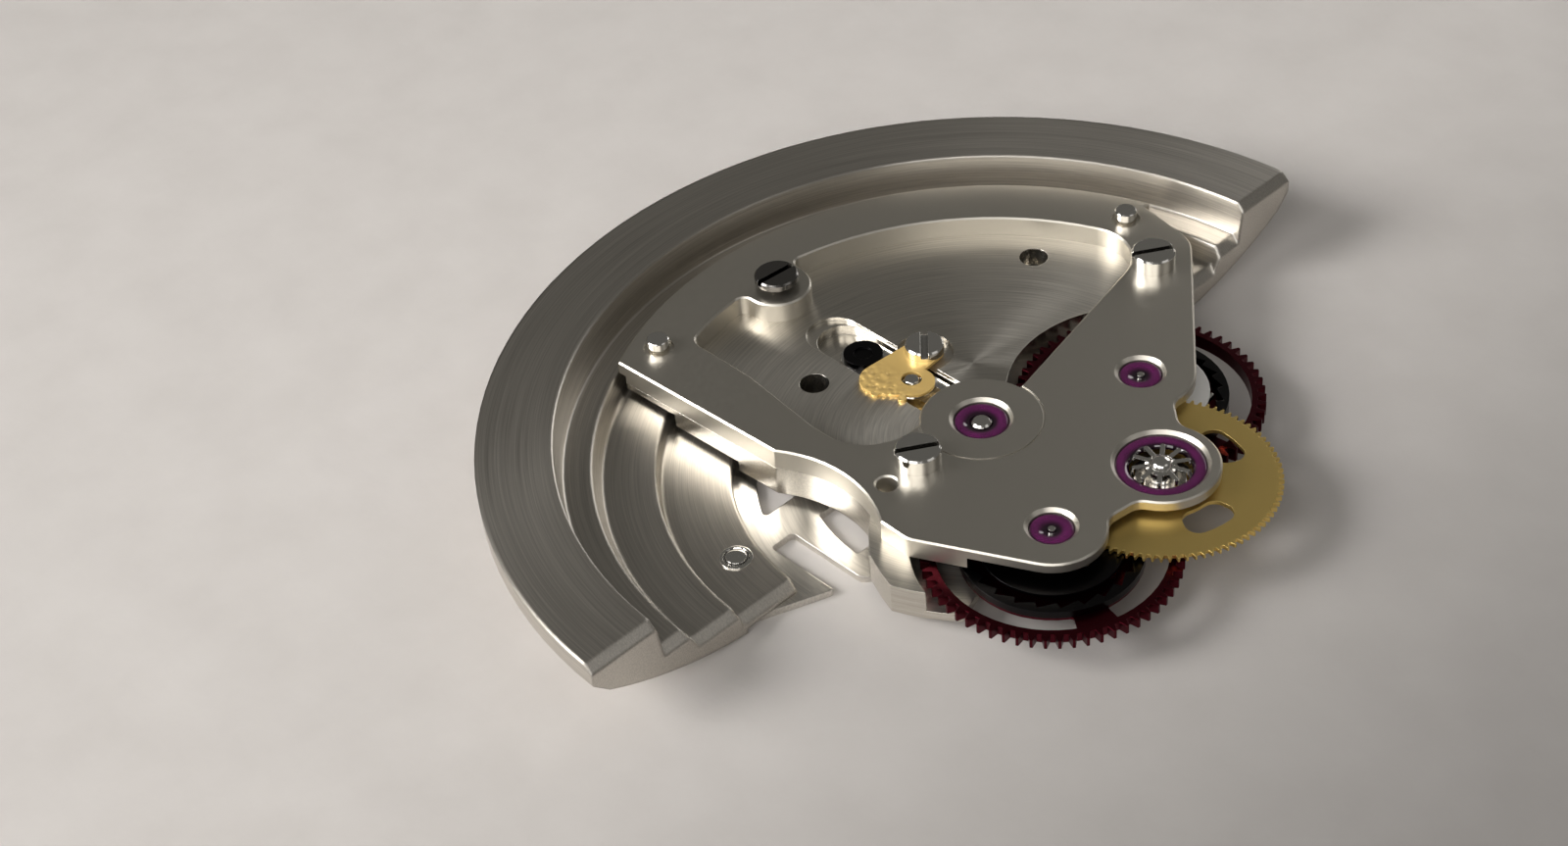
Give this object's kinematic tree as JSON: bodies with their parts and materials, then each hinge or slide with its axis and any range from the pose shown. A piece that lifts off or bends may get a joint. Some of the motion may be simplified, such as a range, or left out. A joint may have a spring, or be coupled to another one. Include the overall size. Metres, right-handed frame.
{
  "type": "automatic watch rotor with winding module",
  "caption": "Half-round winding rotor of a watch, carrying its automatic module: plates, jewelled reverser wheels with pawls, gilt driving wheel and a locking bolt.",
  "frame": {"origin": "on the rotor axis, in the plane that the back of the rotor rests on", "axes": "+Z towards the movement side of the module; +Y along the middle of the half-round weight; +X along its straight edge, so that the driving wheel lies at -Y"},
  "size_m": [0.028, 0.0222, 0.0026],
  "materials": {
    "matte_plate": "rhodium-plated, matt frosted",
    "weight": "heavy metal, plated, fine circular brushing",
    "web": "plated sheet, satin",
    "polished_steel": "polished steel",
    "black_steel": "blackened steel",
    "red_anodised": "dark red anodised",
    "gilt_wheel": "gilt brass, matt",
    "gilt": "gilt, polished",
    "jewel": "synthetic ruby, polished"
  },
  "bodies": {
    "module": {"framework": "matte_plate", "lower_bridge": "matte_plate", "bridge_screws": "polished_steel", "fixing_screw": "polished_steel", "clip_screw": "polished_steel", "clip_plate": "gilt", "clip_pin": "polished_steel", "steady_pins": "polished_steel", "rotor_jewel_bridge": "jewel", "rotor_jewel_framework": "jewel", "reverser_jewels_bridge": "jewel", "reverser_jewels_framework": "jewel", "driving_ring_jewel": "jewel", "driving_jewel_framework": "jewel"},
    "rotor": {"weight_rim": "weight", "rotor_web": "web", "rotor_rivets": "polished_steel", "rotor_axle": "polished_steel", "rotor_gear": "polished_steel"},
    "driving": {"driving_wheel": "gilt_wheel", "driving_pinion": "polished_steel"},
    "bolt": {"rotor_bolt": "polished_steel", "bolt_stud": "black_steel"},
    "wheel_1": {"red_wheel_1": "red_anodised", "ratchet_ring_1": "black_steel"},
    "staff_1": {"reverser_staff_1": "polished_steel", "pawl_carrier_1": "web", "pawl_pins_1": "polished_steel"},
    "pawl_1a_arm": {"pawl_1a": "polished_steel"},
    "pawl_1b_arm": {"pawl_1b": "polished_steel"},
    "wheel_2": {"red_wheel_2": "red_anodised", "ratchet_ring_2": "black_steel"},
    "staff_2": {"reverser_staff_2": "polished_steel", "pawl_carrier_2": "web", "pawl_pins_2": "polished_steel"},
    "pawl_2a_arm": {"pawl_2a": "polished_steel"},
    "pawl_2b_arm": {"pawl_2b": "polished_steel"}
  },
  "joints": [
    {"name": "rotor_spin", "type": "hinge", "parent": "module", "child": "rotor", "pos_m": [0, 0, 0], "axis": [0, 0, 1], "continuous": true},
    {"name": "driving_spin", "type": "hinge", "parent": "module", "child": "driving", "pos_m": [0.00184, -0.00488, 0], "axis": [0, 0, 1], "continuous": true},
    {"name": "bolt_slide", "type": "slide", "parent": "module", "child": "bolt", "axis": [0, 1, 0], "range_m": [0, 0.0008]},
    {"name": "wheel_1_spin", "type": "hinge", "parent": "module", "child": "wheel_1", "pos_m": [0.00442, -0.00199, 0], "axis": [0, 0, 1], "continuous": true},
    {"name": "staff_1_spin", "type": "hinge", "parent": "module", "child": "staff_1", "pos_m": [0.00442, -0.00199, 0], "axis": [0, 0, 1], "continuous": true},
    {"name": "pawl_1a_swing", "type": "hinge", "parent": "staff_1", "child": "pawl_1a_arm", "pos_m": [0.00442, -0.00084, 0.0012], "axis": [0, 0, 1], "range_deg": [0, 8]},
    {"name": "pawl_1b_swing", "type": "hinge", "parent": "staff_1", "child": "pawl_1b_arm", "pos_m": [0.00442, -0.00314, 0.0012], "axis": [0, 0, 1], "range_deg": [0, 8]},
    {"name": "wheel_2_spin", "type": "hinge", "parent": "module", "child": "wheel_2", "pos_m": [-0.002, -0.00436, 0], "axis": [0, 0, 1], "continuous": true},
    {"name": "staff_2_spin", "type": "hinge", "parent": "module", "child": "staff_2", "pos_m": [-0.002, -0.00436, 0], "axis": [0, 0, 1], "continuous": true},
    {"name": "pawl_2a_swing", "type": "hinge", "parent": "staff_2", "child": "pawl_2a_arm", "pos_m": [-0.002, -0.00321, 0.0012], "axis": [0, 0, 1], "range_deg": [0, 8]},
    {"name": "pawl_2b_swing", "type": "hinge", "parent": "staff_2", "child": "pawl_2b_arm", "pos_m": [-0.002, -0.00551, 0.0012], "axis": [0, 0, 1], "range_deg": [0, 8]}
  ],
  "couplings": [
    {"joint": "driving_spin", "follows": "rotor_spin", "ratio": 0.083333},
    {"joint": "wheel_1_spin", "follows": "rotor_spin", "ratio": -0.41667},
    {"joint": "staff_1_spin", "follows": "rotor_spin", "ratio": -0.41667},
    {"joint": "wheel_2_spin", "follows": "rotor_spin", "ratio": 0.41667},
    {"joint": "staff_2_spin", "follows": "rotor_spin", "ratio": -0.41667}
  ]
}
